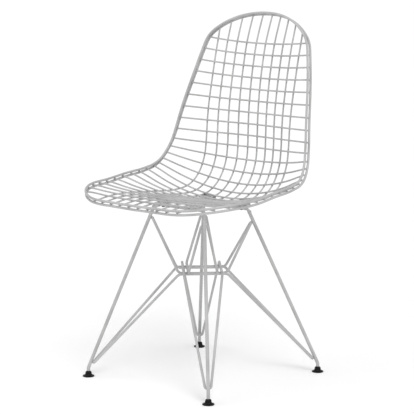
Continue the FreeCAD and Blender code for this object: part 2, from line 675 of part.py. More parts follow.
# All pieces by name
def build():
    front_bar = BASE_Y + FRONT_BAR_Y
    rear_bar = BASE_Y + REAR_BAR_Y
    parts = {"rim_wire_inner": rim_wire(RIM_OFFSET), "rim_wire_outer": rim_wire(-RIM_OFFSET)}
    for n, x in enumerate(long_places()):
        parts["long_wire_%02d" % (n + 1)] = long_wire(x)
    for n, s in enumerate(cross_stations()):
        parts["cross_wire_%02d" % (n + 1)] = cross_wire(s)
    parts["front_leg_hoop"] = leg_hoop(FRONT_FOOT_Y, front_bar, FRONT_BAR_HALF)
    parts["rear_leg_hoop"] = leg_hoop(REAR_FOOT_Y, rear_bar, REAR_BAR_HALF)
    front_top = bar_height(front_bar) - UPPER_WELD_DROP
    rear_top = bar_height(rear_bar) - UPPER_WELD_DROP
    second = CROSS_Z + STRUT_WIRE - WELD_SINK
    parts["lower_strut_left"] = strut_loop(-1, 1, LOWER_HALF_GAP, FIRST_LOWER_RUN, CROSS_Z,
                                           LOWER_WELD_Z, LOWER_WELD_Z)
    parts["upper_strut_left"] = strut_loop(-1, 1, UPPER_HALF_GAP, FIRST_UPPER_RUN, CROSS_Z,
                                           front_top, rear_top)
    parts["lower_strut_right"] = strut_loop(1, -1, LOWER_HALF_GAP, SECOND_LOWER_RUN, second,
                                            LOWER_WELD_Z, LOWER_WELD_Z)
    parts["upper_strut_right"] = strut_loop(1, -1, UPPER_HALF_GAP, SECOND_UPPER_RUN, second,
                                            front_top, rear_top)
    screws = []
    for end, bar_y, foot_y in (("front", front_bar, FRONT_FOOT_Y), ("rear", rear_bar, REAR_FOOT_Y)):
        for hand, side in (("left", -1), ("right", 1)):
            name = end + "_" + hand
            parts["mount_pad_" + name] = mount_pad(side, bar_y)
            parts["mount_plate_" + name] = mount_plate(side, bar_y)
            parts["foot_stud_" + name] = foot_stud(side * FOOT_X, foot_y)
            parts["glide_" + name] = glide(side * FOOT_X, foot_y)
            screws.append(mount_screw(side, bar_y))
    parts["mount_screws"] = Part.makeCompound(screws)
    return parts


os.makedirs("parts", exist_ok=True)
for node, shape in build().items():
    shape.exportStep("parts/" + node + ".step")
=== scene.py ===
"""Wire mesh chair: drawn wire, welds, rubber pads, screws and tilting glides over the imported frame.

All is in metres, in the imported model's frame: +Z up, the sitter faces -Y, the floor is z = 0.
MM turns sizes in millimetres into metres. Turned pieces stay in millimetres until they are meshed.
Left and right are as seen from the front, so left is -X.
"""

import logging
import math
from dataclasses import dataclass
from enum import Enum
from itertools import product
from typing import Sequence

import bmesh
import bpy
import numpy as np
from bpy.types import Material, Mesh, Node, NodeSocket as Socket, NodeTree as Tree, Object
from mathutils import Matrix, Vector
from mathutils.geometry import intersect_line_line

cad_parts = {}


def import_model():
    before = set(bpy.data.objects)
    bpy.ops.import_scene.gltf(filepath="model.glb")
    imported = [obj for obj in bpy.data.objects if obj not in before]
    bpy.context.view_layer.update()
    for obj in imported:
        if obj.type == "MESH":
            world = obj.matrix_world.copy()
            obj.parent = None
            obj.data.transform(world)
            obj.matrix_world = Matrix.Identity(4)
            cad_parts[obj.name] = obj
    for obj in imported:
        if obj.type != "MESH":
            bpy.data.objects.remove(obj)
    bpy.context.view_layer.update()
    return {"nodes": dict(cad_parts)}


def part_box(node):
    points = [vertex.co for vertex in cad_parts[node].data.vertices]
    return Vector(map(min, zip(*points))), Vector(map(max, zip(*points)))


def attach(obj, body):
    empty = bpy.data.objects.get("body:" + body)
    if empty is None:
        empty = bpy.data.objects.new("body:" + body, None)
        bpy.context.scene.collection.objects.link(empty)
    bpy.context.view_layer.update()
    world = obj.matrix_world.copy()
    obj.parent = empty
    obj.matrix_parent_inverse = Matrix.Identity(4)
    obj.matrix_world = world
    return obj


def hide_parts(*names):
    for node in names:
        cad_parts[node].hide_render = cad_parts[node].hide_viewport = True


Profile = Sequence[tuple[float, float]]

LOG = logging.getLogger("wire_chair")
MM = 0.001
CHAIR = "chair"  # the body that all but the glides ride on
SEED = 7
SINK = 0.15 * MM  # how far two welded wires sink into each other
SEARCH_GAP = 6 * MM  # points of wires that touch come nearer than this, over the radii
TOUCH_GAP = 0.5 * MM  # wires nearer than this touch
LEVEL_GAP = 0.05 * MM  # points nearer to a height lie at it
RING_SLACK = 1.05  # the corners of a section lie within this many diameters
CUT_GIRTH = 0.8  # girth of a wire at its cut end
BEND_DEGREES = 8  # greatest turn from one point of a bend to the next
BEND_PARTS = 3  # fewest parts of a bend
SHARP = math.radians(38)  # edges steeper than this are shaded sharp
FLAT = math.radians(1)  # faces that differ by less than this are one
SIXTH = math.pi / 3


class End(Enum):
    """The two ends of the chair that have a leg hoop."""

    FRONT = "front"
    REAR = "rear"


class Hand(Enum):
    """The two sides of the chair, by the sign of x."""

    LEFT = -1
    RIGHT = 1


class Section(Enum):
    """Shape of one ring of a turned piece."""

    ROUND = "round"
    HEXAGON = "hexagon"


Ring = tuple[float, float, Section]


def linear(code: str) -> tuple[float, float, float, float]:
    """Turn an sRGB hex code into a linear colour.

    Args:
        code: Six hexadecimal digits.

    Returns:
        Linear red, green and blue, and an alpha of 1.
    """
    channels = [int(code[n:n + 2], 16) / 255 for n in (0, 2, 4)]
    bent = [c / 12.92 if c <= 0.04045 else ((c + 0.055) / 1.055) ** 2.4 for c in channels]
    return (*bent, 1.0)


def plug(tree: Tree, socket: Socket, value: object) -> None:
    """Set or link one input.

    Args:
        tree: Tree that the input is in.
        socket: The input.
        value: An output, a node, of which the first output is taken, or a plain value.
    """
    if isinstance(value, Node):
        value = value.outputs[0]
    if isinstance(value, Socket):
        tree.links.new(value, socket)
    else:
        socket.default_value = value


def add(tree: Tree, kind: str, inputs: dict | None = None, **settings: object) -> Node:
    """Add one node to a tree.

    Args:
        tree: Tree that gets the node.
        kind: Blender's type name of the node.
        inputs: What each input takes, by its name or its number, as plug takes it.
        settings: Properties of the node itself.

    Returns:
        The new node.
    """
    node = tree.nodes.new(kind)
    for name, value in settings.items():
        setattr(node, name, value)
    for key, value in (inputs or {}).items():
        plug(tree, node.inputs[key], value)
    return node


class Surface:
    """One procedural material on Object coordinates, and the patterns that finishes share."""

    def __init__(self, name: str, roughness: float, metallic: float = 0.0) -> None:
        """Start a material whose shader keeps its constants on its own sockets.

        Args:
            name: Name of the material.
            roughness: Roughness where nothing is linked to it.
            metallic: 1 for bare metal and 0 for everything else.
        """
        self.material = bpy.data.materials.new(name)
        self.material.use_nodes = True
        self.tree = self.material.node_tree
        self.shader = self.tree.nodes["Principled BSDF"]
        self.feed("Roughness", roughness)
        self.feed("Metallic", metallic)
        self.place = add(self.tree, "ShaderNodeTexCoord").outputs["Object"]

    def feed(self, name: str, value: object) -> None:
        """Set or link one of the shader's inputs."""
        plug(self.tree, self.shader.inputs[name], value)

    def noise(
        self, size_mm: float, detail: float = 2.0, stretch: Sequence[float] = (1, 1, 1)
    ) -> Node:
        """Noise whose blobs have a real size.

        Args:
            size_mm: Size of a blob in millimetres.
            detail: Octaves of finer noise.
            stretch: Blob size along x, y and z, as shares of size_mm.

        Returns:
            Node with values round 0.5.
        """
        scale = Vector([1 / share for share in stretch])
        place = add(self.tree, "ShaderNodeMapping", {"Vector": self.place, "Scale": scale})
        pattern = {"Vector": place, "Scale": 1 / (size_mm * MM), "Detail": detail}
        return add(self.tree, "ShaderNodeTexNoise", pattern)

    def tone(
        self, value: Node, low: str, high: str, start: float = 0.35, end: float = 0.65
    ) -> None:
        """Let the base colour go from one to another as a value rises.

        Args:
            value: Node that drives the colour.
            low: Hex code of the colour at and below start.
            high: Hex code of the colour at and above end.
            start: Value where the change starts.
            end: Value where the change ends.
        """
        ramp = add(self.tree, "ShaderNodeValToRGB", {0: value})
        for stop, at, code in zip(ramp.color_ramp.elements, (start, end), (low, high)):
            stop.position = at
            stop.color = linear(code)
        self.feed("Base Color", ramp)

    def gloss(
        self, value: Node, low: float, high: float, start: float = 0.3, end: float = 0.7
    ) -> None:
        """Let the roughness go from low to high as a value goes from start to end."""
        ends = {"From Min": start, "From Max": end, "To Min": low, "To Max": high}
        self.feed("Roughness", add(self.tree, "ShaderNodeMapRange", {"Value": value, **ends}))

    def relief(self, height: Node, depth_mm: float) -> None:
        """Bump the surface by a height between 0 and 1, where 1 is a depth in millimetres."""
        rise = {"Height": height, "Strength": 1.0, "Distance": depth_mm * MM}
        self.feed("Normal", add(self.tree, "ShaderNodeBump", rise))


@dataclass(frozen=True)
class PowderCoat:
    """Light grey powder coat on steel wire: even grey with a broad sheen and fine orange peel."""

    slot: str = "powder_coat"
    light: str = "B7B7B7"
    dark: str = "A9A9A9"
    drift_mm: float = 45.0
    uneven_mm: float = 9.0
    peel_mm: float = 1.1
    peel_depth_mm: float = 0.02

    def material(self) -> Material:
        """Slow tone drift, uneven gloss and fine orange peel.

        Returns:
            The material.
        """
        surface = Surface(self.slot + "_satin", roughness=0.36)
        surface.tone(surface.noise(self.drift_mm), self.dark, self.light)
        surface.gloss(surface.noise(self.uneven_mm), low=0.32, high=0.42)
        surface.relief(surface.noise(self.peel_mm, detail=3.0), self.peel_depth_mm)
        return surface.material


@dataclass(frozen=True)
class MouldedNylon:
    """Black moulded nylon of the glides: deep, nearly dull black, greyed where it rubs."""

    slot: str = "glide_plastic"
    body: str = "070707"
    scuffed: str = "1E1E1F"
    worn_mm: float = 0.2
    clean_mm: float = 1.6
    scratch_mm: float = 1.5
    sheen: float = 0.2
    grain_mm: float = 0.35
    grain_depth_mm: float = 0.02

    def material(self) -> Material:
        """Fine spark grain, and scuffs near the floor.

        Returns:
            The material.
        """
        surface = Surface(self.slot + "_nylon", roughness=0.5)
        surface.feed("Specular IOR Level", self.sheen)
        tree = surface.tree
        height = add(tree, "ShaderNodeSeparateXYZ", {0: surface.place}).outputs[2]
        low = {"Value": height, "From Min": self.worn_mm * MM, "From Max": self.clean_mm * MM}
        low = add(tree, "ShaderNodeMapRange", {**low, "To Min": 1.0, "To Max": 0.0})
        scratches = surface.noise(self.scratch_mm, detail=4.0, stretch=(1, 1, 0.3))
        scratches = {"Value": scratches, "From Min": 0.42, "From Max": 0.62}
        scratches = add(tree, "ShaderNodeMapRange", scratches)
        wear = add(tree, "ShaderNodeMath", {0: low, 1: scratches}, operation="MULTIPLY")
        surface.tone(wear, self.body, self.scuffed, start=0.0, end=1.0)
        surface.gloss(wear, low=0.46, high=0.72, start=0.0, end=1.0)
        surface.relief(surface.noise(self.grain_mm), self.grain_depth_mm)
        return surface.material


@dataclass(frozen=True)
class PadRubber:
    """Grey rubber of the seat's pads: as light as the coat, but dull, with a faint bloom."""

    slot: str = "pad_rubber"
    body: str = "A6A6A6"
    bloom: str = "B6B6B6"
    bloom_mm: float = 6.0
    grain_mm: float = 0.5
    grain_depth_mm: float = 0.03

    def material(self) -> Material:
        """Dull, with a faint grey bloom and a matt grain.

        Returns:
            The material.
        """
        surface = Surface(self.slot + "_matt", roughness=0.78)
        bloom = surface.noise(self.bloom_mm, detail=4.0)
        surface.tone(bloom, self.body, self.bloom, start=0.4, end=0.75)
        surface.relief(surface.noise(self.grain_mm, detail=3.0), self.grain_depth_mm)
        return surface.material


@dataclass(frozen=True)
class BlackOxide:
    """Black oxide on the steel screws: dark metal with a thin oily gloss."""

    slot: str = "dark_screw"
    body: str = "222224"
    worn: str = "3B3937"
    mottle_mm: float = 1.2

    def material(self) -> Material:
        """Mottled dark steel, a little brighter where the oxide is thin.

        Returns:
            The material.
        """
        surface = Surface(self.slot + "_oxide", roughness=0.42, metallic=1.0)
        mottle = surface.noise(self.mottle_mm, detail=4.0)
        surface.tone(mottle, self.body, self.worn, start=0.45, end=0.8)
        surface.gloss(mottle, low=0.36, high=0.52)
        return surface.material


@dataclass(frozen=True)
class ZincSteel:
    """Zinc plated, turned steel of the ball studs: pale, slightly cloudy, with turning lines."""

    slot: str = "stud_steel"
    body: str = "B4B5B6"
    dull: str = "97989A"
    cloud_mm: float = 3.0
    line_mm: float = 0.25
    line_depth_mm: float = 0.008

    def material(self) -> Material:
        """Turning lines round the axis under a slightly cloudy plating.

        Returns:
            The material.
        """
        surface = Surface(self.slot + "_zinc", roughness=0.34, metallic=1.0)
        surface.tone(surface.noise(self.cloud_mm), self.dull, self.body)
        lines = surface.noise(self.line_mm, detail=1.0, stretch=(60, 60, 1))
        surface.relief(lines, self.line_depth_mm)
        return surface.material


def new_tree(
    name: str, sockets: Sequence[tuple[str, str, object]]
) -> tuple[Tree, dict[str, Socket]]:
    """Start a Geometry Nodes tree that takes and gives geometry, and takes a finish.

    Args:
        name: Name of the tree.
        sockets: Name, kind and default of each further input.

    Returns:
        The tree and what it is given, by name.
    """
    tree = bpy.data.node_groups.new(name, "GeometryNodeTree")
    rows = (("Geometry", "Geometry", None), *sockets, ("Finish", "Material", None))
    for title, kind, value in rows:
        socket = tree.interface.new_socket(title, in_out="INPUT", socket_type="NodeSocket" + kind)
        if value is not None:
            socket.default_value = value
    tree.interface.new_socket("Geometry", in_out="OUTPUT", socket_type="NodeSocketGeometry")
    return tree, {socket.name: socket for socket in add(tree, "NodeGroupInput").outputs}


def end_tree(tree: Tree, made: Node, finish: Socket) -> None:
    """End a tree in smooth shading, real meshes and the finish.

    Args:
        tree: Tree to end.
        made: Node with the geometry.
        finish: The material that the tree is given.
    """
    smooth = add(tree, "GeometryNodeSetShadeSmooth", {"Geometry": made})
    real = add(tree, "GeometryNodeRealizeInstances", {"Geometry": smooth})
    dressed = add(tree, "GeometryNodeSetMaterial", {"Geometry": real, "Material": finish})
    add(tree, "NodeGroupOutput", {0: dressed})


def wire_tree() -> Tree:
    """Tree that draws round wire along chains of edges, thinner where a point's girth is low.

    Returns:
        The tree.
    """
    tree, given = new_tree("drawn_wire", (("Diameter", "Float", 0.004), ("Sides", "Int", 12)))
    curve = add(tree, "GeometryNodeMeshToCurve", {"Mesh": given["Geometry"]})
    radius = add(tree, "ShaderNodeMath", {0: given["Diameter"], 1: 0.5}, operation="MULTIPLY")
    circle = {"Resolution": given["Sides"], "Radius": radius}
    circle = add(tree, "GeometryNodeCurvePrimitiveCircle", circle)
    girth = add(tree, "GeometryNodeInputNamedAttribute", {"Name": "girth"}, data_type="FLOAT")
    wire = {"Curve": curve, "Profile Curve": circle, "Scale": girth, "Fill Caps": True}
    end_tree(tree, add(tree, "GeometryNodeCurveToMesh", wire), given["Finish"])
    return tree


def weld_tree() -> Tree:
    """Tree that sets a weld nugget on each point, turned by the point's outward and along.

    Returns:
        The tree.
    """
    sizes = (("Length", "Float", 0.004), ("Width", "Float", 0.004), ("Height", "Float", 0.0015))
    counts = (("Segments", "Int", 10), ("Rings", "Int", 6), ("Seed", "Int", SEED))
    tree, given = new_tree("weld_nuggets", sizes + counts)
    ball = {"Segments": given["Segments"], "Rings": given["Rings"], "Radius": 0.5}
    ball = add(tree, "GeometryNodeMeshUVSphere", ball)
    size = {"X": given["Length"], "Y": given["Width"], "Z": given["Height"]}
    size = add(tree, "ShaderNodeCombineXYZ", size)
    nugget = add(tree, "GeometryNodeTransform", {"Geometry": ball, "Scale": size})
    turn = {}
    for name, settings in (("outward", {"axis": "Z"}), ("along", {"axis": "X", "pivot_axis": "Z"})):
        way = {"Name": name}
        way = add(tree, "GeometryNodeInputNamedAttribute", way, data_type="FLOAT_VECTOR")
        turn["Vector"] = way
        turn["Rotation"] = add(tree, "FunctionNodeAlignRotationToVector", turn, **settings)
    # Inputs 2 and 3 of a random number are its limits.
    spread = {2: 0.9, 3: 1.1, "Seed": given["Seed"]}
    spread = add(tree, "FunctionNodeRandomValue", spread, data_type="FLOAT").outputs[1]
    placed = {"Points": given["Geometry"], "Instance": nugget, "Scale": spread}
    placed["Rotation"] = turn["Rotation"]
    end_tree(tree, add(tree, "GeometryNodeInstanceOnPoints", placed), given["Finish"])
    return tree


def screw_tree() -> Tree:
    """Tree that sets a screw on each point, each turned to its own random angle.

    Returns:
        The tree.
    """
    tree, given = new_tree("screw_set", (("Screw", "Object", None), ("Seed", "Int", SEED)))
    screw = add(tree, "GeometryNodeObjectInfo", {"Object": given["Screw"]}).outputs["Geometry"]
    angle = {2: 0.0, 3: math.tau, "Seed": given["Seed"]}
    angle = add(tree, "FunctionNodeRandomValue", angle, data_type="FLOAT").outputs[1]
    turn = add(tree, "FunctionNodeAxisAngleToRotation", {"Axis": (0, 0, 1), "Angle": angle})
    placed = {"Points": given["Geometry"], "Instance": screw, "Rotation": turn}
    end_tree(tree, add(tree, "GeometryNodeInstanceOnPoints", placed), given["Finish"])
    return tree


def linked(data: bpy.types.ID) -> Object:
    """Put a new object in the scene.

    Args:
        data: Its mesh, light or camera, which also gives its name.

    Returns:
        The object.
    """
    made = bpy.data.objects.new(data.name, data)
    bpy.context.scene.collection.objects.link(made)
    return made


def grown(name: str, source: Mesh, tree: Tree, values: dict[str, object]) -> Object:
    """Run a tree on a mesh and keep the result as a plain mesh object.

    Args:
        name: Name of the new object.
        source: Mesh that the tree starts from.
        tree: Geometry Nodes tree.
        values: Value of each named input that differs from its default.

    Returns:
        The new object, at the origin, with no modifier.
    """
    carrier = linked(source)
    modifier = carrier.modifiers.new("nodes", "NODES")
    modifier.node_group = tree
    items = tree.interface.items_tree
    names = {item.name: item.identifier for item in items if item.in_out == "INPUT"}
    for title, value in values.items():
        modifier[names[title]] = value
    graph = bpy.context.evaluated_depsgraph_get()
    made = bpy.data.meshes.new_from_object(carrier.evaluated_get(graph))
    bpy.data.objects.remove(carrier)
    made.name = name
    made.set_sharp_from_angle(angle=SHARP)
    return linked(made)


def fitted(piece: Object, nodes: Sequence[str] = (), body: str = CHAIR) -> None:
    """Tell the frame a piece's body and the nodes it stands for.

    Args:
        piece: The finished piece.
        nodes: CAD nodes that it replaces.
        body: Body that it rides on.
    """
    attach(piece, body)
    if nodes:
        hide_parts(*nodes)
    LOG.info("%-24s %7d faces, rides on %s", piece.name, len(piece.data.polygons), body)


def meshed(name: str, form: bmesh.types.BMesh, finish: Material) -> Object:
    """Turn a closed form into a smooth piece whose faces point outwards.

    Args:
        name: Name of the piece.
        form: The form, which is used up.
        finish: Its material.

    Returns:
        The piece.
    """
    bmesh.ops.recalc_face_normals(form, faces=form.faces)
    mesh = bpy.data.meshes.new(name)
    form.to_mesh(mesh)
    form.free()
    mesh.shade_smooth()
    mesh.set_sharp_from_angle(angle=SHARP)
    mesh.materials.append(finish)
    return linked(mesh)


def softened_hull(name: str, node: Object, width: float, finish: Material) -> Object:
    """Block with a CAD node's outer corners and rounded edges.

    Args:
        name: Name of the piece.
        node: Convex CAD node, apart from its screw hole, which the screw fills.
        width: Width of the rounding.
        finish: Its material.

    Returns:
        The piece.
    """
    form = bmesh.new()
    for spot in {tuple(round(value, 6) for value in v.co) for v in node.data.vertices}:
        form.verts.new(spot)
    bmesh.ops.convex_hull(form, input=form.verts)
    loose = [v for v in form.verts if not v.link_faces]
    bmesh.ops.delete(form, geom=loose, context="VERTS")
    bmesh.ops.dissolve_limit(form, angle_limit=FLAT, verts=form.verts, edges=form.edges)
    bmesh.ops.bevel(form, geom=form.edges, offset=width, segments=4, profile=0.5, affect="EDGES",
                    clamp_overlap=True)
    return meshed(name, form, finish)


def turned(
    name: str, rings: Sequence[Ring], centre: Vector, finish: Material, segments: int = 48
) -> Object:
    """Piece made of rings round an upright axis, closed at both ends.

    Args:
        name: Name of the piece.
        rings: Radius, height and shape of each ring, in millimetres, a radius of 0 at the axis.
        centre: Place of the axis at height 0, in millimetres.
        finish: Its material.
        segments: Points of a ring.

    Returns:
        The piece.
    """
    form = bmesh.new()
    rows = []
    for radius, height, shape in rings:
        row = []
        for n in range(segments if radius else 1):
            angle = math.tau * n / segments
            reach = radius
            if shape is Section.HEXAGON:
                reach = radius / math.cos((angle + SIXTH / 2) % SIXTH - SIXTH / 2)
            spot = Vector((reach * math.cos(angle), reach * math.sin(angle), height))
            row.append(form.verts.new((centre + spot) * MM))
        rows.append(row)
    for low, high in zip(rows, rows[1:]):
        for n in range(segments):
            m = (n + 1) % segments
            spots = [low[n % len(low)], low[m % len(low)], high[m % len(high)], high[n % len(high)]]
            form.faces.new(list(dict.fromkeys(spots)))
    return meshed(name, form, finish)


def ringed(profile: Profile, shape: Section = Section.ROUND) -> list[Ring]:
    """Rings of one shape with the radii and heights of a profile."""
    return [(radius, height, shape) for radius, height in profile]


def arc(radius: float, height: float, start: float, end: float, parts: int) -> Profile:
    """Profile of a sphere on the axis, from one angle above its lowest point to another.

    Args:
        radius: Radius of the sphere in millimetres.
        height: Height of its centre.
        start: First angle in degrees.
        end: Last angle in degrees.
        parts: Number of steps.

    Returns:
        Radius and height of each point.
    """
    angles = [math.radians(start + (end - start) * n / parts) for n in range(parts + 1)]
    return [(radius * math.sin(angle), height - radius * math.cos(angle)) for angle in angles]


def smooth_path(points: np.ndarray, step: float, closed: bool) -> np.ndarray:
    """Even points on a smooth curve through given points.

    Args:
        points: Points that the curve goes through.
        step: Distance between two points of the result.
        closed: True if the curve closes on itself.

    Returns:
        The points of the curve, the first not repeated at the end of a closed one.
    """
    loop = np.vstack([points, points[:1]]) if closed else points
    spans = np.linalg.norm(np.diff(loop, axis=0), axis=1)
    slopes = np.diff(loop, axis=0) / spans[:, None]
    before = np.roll(slopes, 1, axis=0)
    share = (spans / (spans + np.roll(spans, 1)))[:, None]
    starts = before * share + slopes * (1 - share)
    if not closed:
        starts[0] = slopes[0]
    ends = np.vstack([starts[1:], starts[:1] if closed else slopes[-1:]])
    places = np.concatenate([[0.0], np.cumsum(spans)])
    wanted = np.linspace(0.0, places[-1], max(2, round(places[-1] / step)) + 1)
    k = np.clip(np.searchsorted(places, wanted, side="right") - 1, 0, len(spans) - 1)
    h = spans[k][:, None]
    t = ((wanted - places[k]) / spans[k])[:, None]
    made = (1 + 2 * t) * (1 - t) ** 2 * loop[k] + t * (1 - t) ** 2 * h * starts[k]
    made += t * t * (3 - 2 * t) * loop[k + 1] + t * t * (t - 1) * h * ends[k]
    return made[:-1] if closed else made


def bent_path(
    corners: Sequence[Vector], radii: Sequence[float], closed: bool, step: float
) -> np.ndarray:
    """Points of straight runs joined by round bends.

    Args:
        corners: Corner points of the centre line.
        radii: Bend radius at each corner, 0 at a free end.
        closed: True if the line closes on itself.
        step: Longest distance between two points.

    Returns:
        The points of the centre line.
    """
    bends = []
    for k, (spot, radius) in enumerate(zip(corners, radii)):
        if radius == 0:
            bends.append(spot)
            continue
        back = (corners[k - 1] - spot).normalized()
        ahead = (corners[(k + 1) % len(corners)] - spot).normalized()
        turn = math.pi - back.angle(ahead)
        centre = spot + (back + ahead).normalized() * (radius / math.cos(turn / 2))
        start = spot + back * (radius * math.tan(turn / 2)) - centre
        parts = max(BEND_PARTS, math.ceil(math.degrees(turn) / BEND_DEGREES))
        for n in range(parts + 1):
            angle = turn * n / parts
            bends.append(centre + start * math.cos(angle) - back * (radius * math.sin(angle)))
    points = []
    for one, two in zip(bends, bends[1:] + bends[:1] if closed else bends[1:]):
        parts = max(1, math.ceil((two - one).length / step))
        points += [one.lerp(two, n / parts) for n in range(parts)]
    return np.array(points if closed else points + [bends[-1]])


@dataclass(frozen=True)
class Wire:
    """Round steel wire: its diameter, the sides it is drawn with and those of its CAD solid."""

    diameter: float
    sides: int
    cad_sides: int = 8

    def draw(
        self, name: str, lines: Sequence[np.ndarray], closed: bool, coat: Material, cut: float = 0.0
    ) -> Object:
        """Draw coated wires along their centre lines.

        Args:
            name: Name of the piece.
            lines: The centre lines.
            closed: True if they close on themselves.
            coat: Finish of the wires.
            cut: Length over which a cut end gets thinner.

        Returns:
            The piece.
        """
        points, edges, girths = [], [], []
        for line in lines:
            first = len(points)
            rows = [Vector(spot) for spot in line]
            widths = [1.0] * len(rows)
            if cut:
                rows.insert(1, rows[0] + (rows[1] - rows[0]).normalized() * cut)
                rows.insert(-1, rows[-1] + (rows[-2] - rows[-1]).normalized() * cut)
                widths = [CUT_GIRTH, *widths, CUT_GIRTH]
            points += rows
            girths += widths
            edges += [(first + n, first + n + 1) for n in range(len(rows) - 1)]
            if closed:
                edges.append((len(points) - 1, first))
        mesh = bpy.data.meshes.new(name + "_lines")
        mesh.from_pydata(points, edges, [])
        mesh.attributes.new("girth", "FLOAT", "POINT").data.foreach_set("value", girths)
        values = {"Diameter": self.diameter, "Sides": self.sides, "Finish": coat}
        return grown(name, mesh, wire_tree(), values)

    def centres(self, node: Object, closed: bool = False) -> np.ndarray:
        """Centre line points of a wire's node, from the rings of corners of its sections.

        Args:
            node: The CAD node.
            closed: True if the wire closes on itself.

        Returns:
            The ring centres in order along the wire, from one end, or from the middle of the
            longest run of a closed one.

        Raises:
            ValueError: A ring doesn't have one corner for each flat side.
        """
        width = RING_SLACK * self.diameter / math.cos(math.pi / self.cad_sides)
        corners = np.unique(np.round([v.co for v in node.data.vertices], 6), axis=0)
        rings = []
        while len(corners):
            near = np.linalg.norm(corners - corners[0], axis=1) < width
            if near.sum() != self.cad_sides:
                raise ValueError("%s has a ring of %d corners" % (node.name, near.sum()))
            rings.append(corners[near].mean(axis=0))
            corners = corners[~near]
        left = np.array(rings)
        if closed:
            spans = np.linalg.norm(left[:, None] - left[None], axis=2) + np.eye(len(left))
            at = spans.min(axis=1).argmax()
        else:
            at = np.linalg.norm(left - left.mean(axis=0), axis=1).argmax()
        order = []
        while len(left):
            order.append(left[at])
            left = np.delete(left, at, axis=0)
            if len(left):
                at = np.linalg.norm(left - order[-1], axis=1).argmin()
        return np.array(order)


@dataclass
class Contact:
    """Place where two round wires touch, the direction square to both and the first one's own."""

    place: Vector
    outward: Vector
    along: Vector


def contacts_between(
    ones: Sequence[np.ndarray], twos: Sequence[np.ndarray], wires: tuple[Wire, Wire]
) -> list[Contact]:
    """Find where the wires of one group touch those of another.

    Args:
        ones: Centre lines of the first group.
        twos: Centre lines of the second group.
        wires: What the wires of each group are.

    Returns:
        A contact for each pair that touches.
    """
    radii = [wire.diameter / 2 for wire in wires]
    found = []
    for one, two in product(ones, twos):
        gaps = np.linalg.norm(one[:, None] - two[None], axis=2)
        i, j = np.unravel_index(gaps.argmin(), gaps.shape)
        if gaps[i, j] > sum(radii) + SEARCH_GAP:
            continue
        lines = []
        for path, k in ((one, i), (two, j)):
            lines += [Vector(path[max(k - 1, 0)]), Vector(path[min(k + 1, len(path) - 1)])]
        a, b = intersect_line_line(*lines)
        if (b - a).length <= sum(radii) + TOUCH_GAP:
            along = (lines[1] - lines[0]).normalized()
            found.append(Contact(a.lerp(b, radii[0] / sum(radii)), (b - a).normalized(), along))
    return found


@dataclass(frozen=True)
class Nugget:
    """Weld nugget: its sizes along a wire, across it and out of it, and its segments."""

    length: float
    width: float
    height: float
    segments: int = 10

    def weld(self, name: str, contacts: Sequence[Contact], coat: Material) -> None:
        """Set a nugget on each contact, all one piece.

        Args:
            name: Name of the piece.
            contacts: Places and directions of the nuggets.
            coat: Finish over the welds.
        """
        mesh = bpy.data.meshes.new(name + "_places")
        mesh.from_pydata([contact.place for contact in contacts], [], [])
        for title in ("outward", "along"):
            layer = mesh.attributes.new(title, "FLOAT_VECTOR", "POINT")
            rows = [value for contact in contacts for value in getattr(contact, title)]
            layer.data.foreach_set("vector", rows)
        values = {"Length": self.length, "Width": self.width, "Height": self.height}
        values |= {"Segments": self.segments, "Finish": coat}
        fitted(grown(name, mesh, weld_tree(), values))


@dataclass
class WireShell:
    """Bucket seat and back: lengthwise wires behind cross wires, their ends between two rims."""

    nodes: dict[str, Object]
    coat: Material
    wire: Wire = Wire(4 * MM, sides=12, cad_sides=6)
    rim: Wire = Wire(5.5 * MM, sides=18)
    step: float = 6 * MM
    rim_step: float = 4.2 * MM
    longest_run: float = 36 * MM
    cut: float = 0.45 * MM
    crossing_nugget: Nugget = Nugget(4.3 * MM, 4.3 * MM, 1.6 * MM)
    rim_nugget: Nugget = Nugget(4.3 * MM, 4.8 * MM, 1.6 * MM)

    def wires(self, name: str, start: str) -> list[np.ndarray]:
        """Draw the mesh wires that run one way.

        Args:
            name: Name of the piece.
            start: Words that the names of their nodes start with.

        Returns:
            Their centre lines.
        """
        names = sorted(node for node in self.nodes if node.startswith(start))
        rings = [self.wire.centres(self.nodes[node]) for node in names]
        lines = [smooth_path(points, self.step, closed=False) for points in rings]
        made = self.wire.draw(name, lines, False, self.coat, self.cut)
        fitted(made, names)
        return lines

    def build(self) -> list[np.ndarray]:
        """Make the wires, the rims and the weld nuggets.

        Returns:
            Centre lines of the lengthwise wires.
        """
        lengthwise = self.wires("lengthwise_wires", "long_wire_")
        cross = self.wires("cross_wires", "cross_wire_")
        rims = []
        for name in ("rim_wire_inner", "rim_wire_outer"):
            rings = self.rim.centres(self.nodes[name], closed=True)
            points = []
            # Points along the long run at the front keep it straight.
            for one, two in zip(rings, np.roll(rings, -1, axis=0)):
                parts = math.ceil(np.linalg.norm(two - one) / self.longest_run)
                points += [one + (two - one) * n / parts for n in range(parts)]
            rims.append(smooth_path(np.array(points), self.rim_step, closed=True))
            made = self.rim.draw("round_" + name, rims[-1:], True, self.coat)
            fitted(made, [name])
        crossings = contacts_between(lengthwise, cross, (self.wire, self.wire))
        self.crossing_nugget.weld("crossing_welds", crossings, self.coat)
        ends = contacts_between(lengthwise + cross, rims, (self.wire, self.rim))
        self.rim_nugget.weld("rim_welds", ends, self.coat)
        return lengthwise


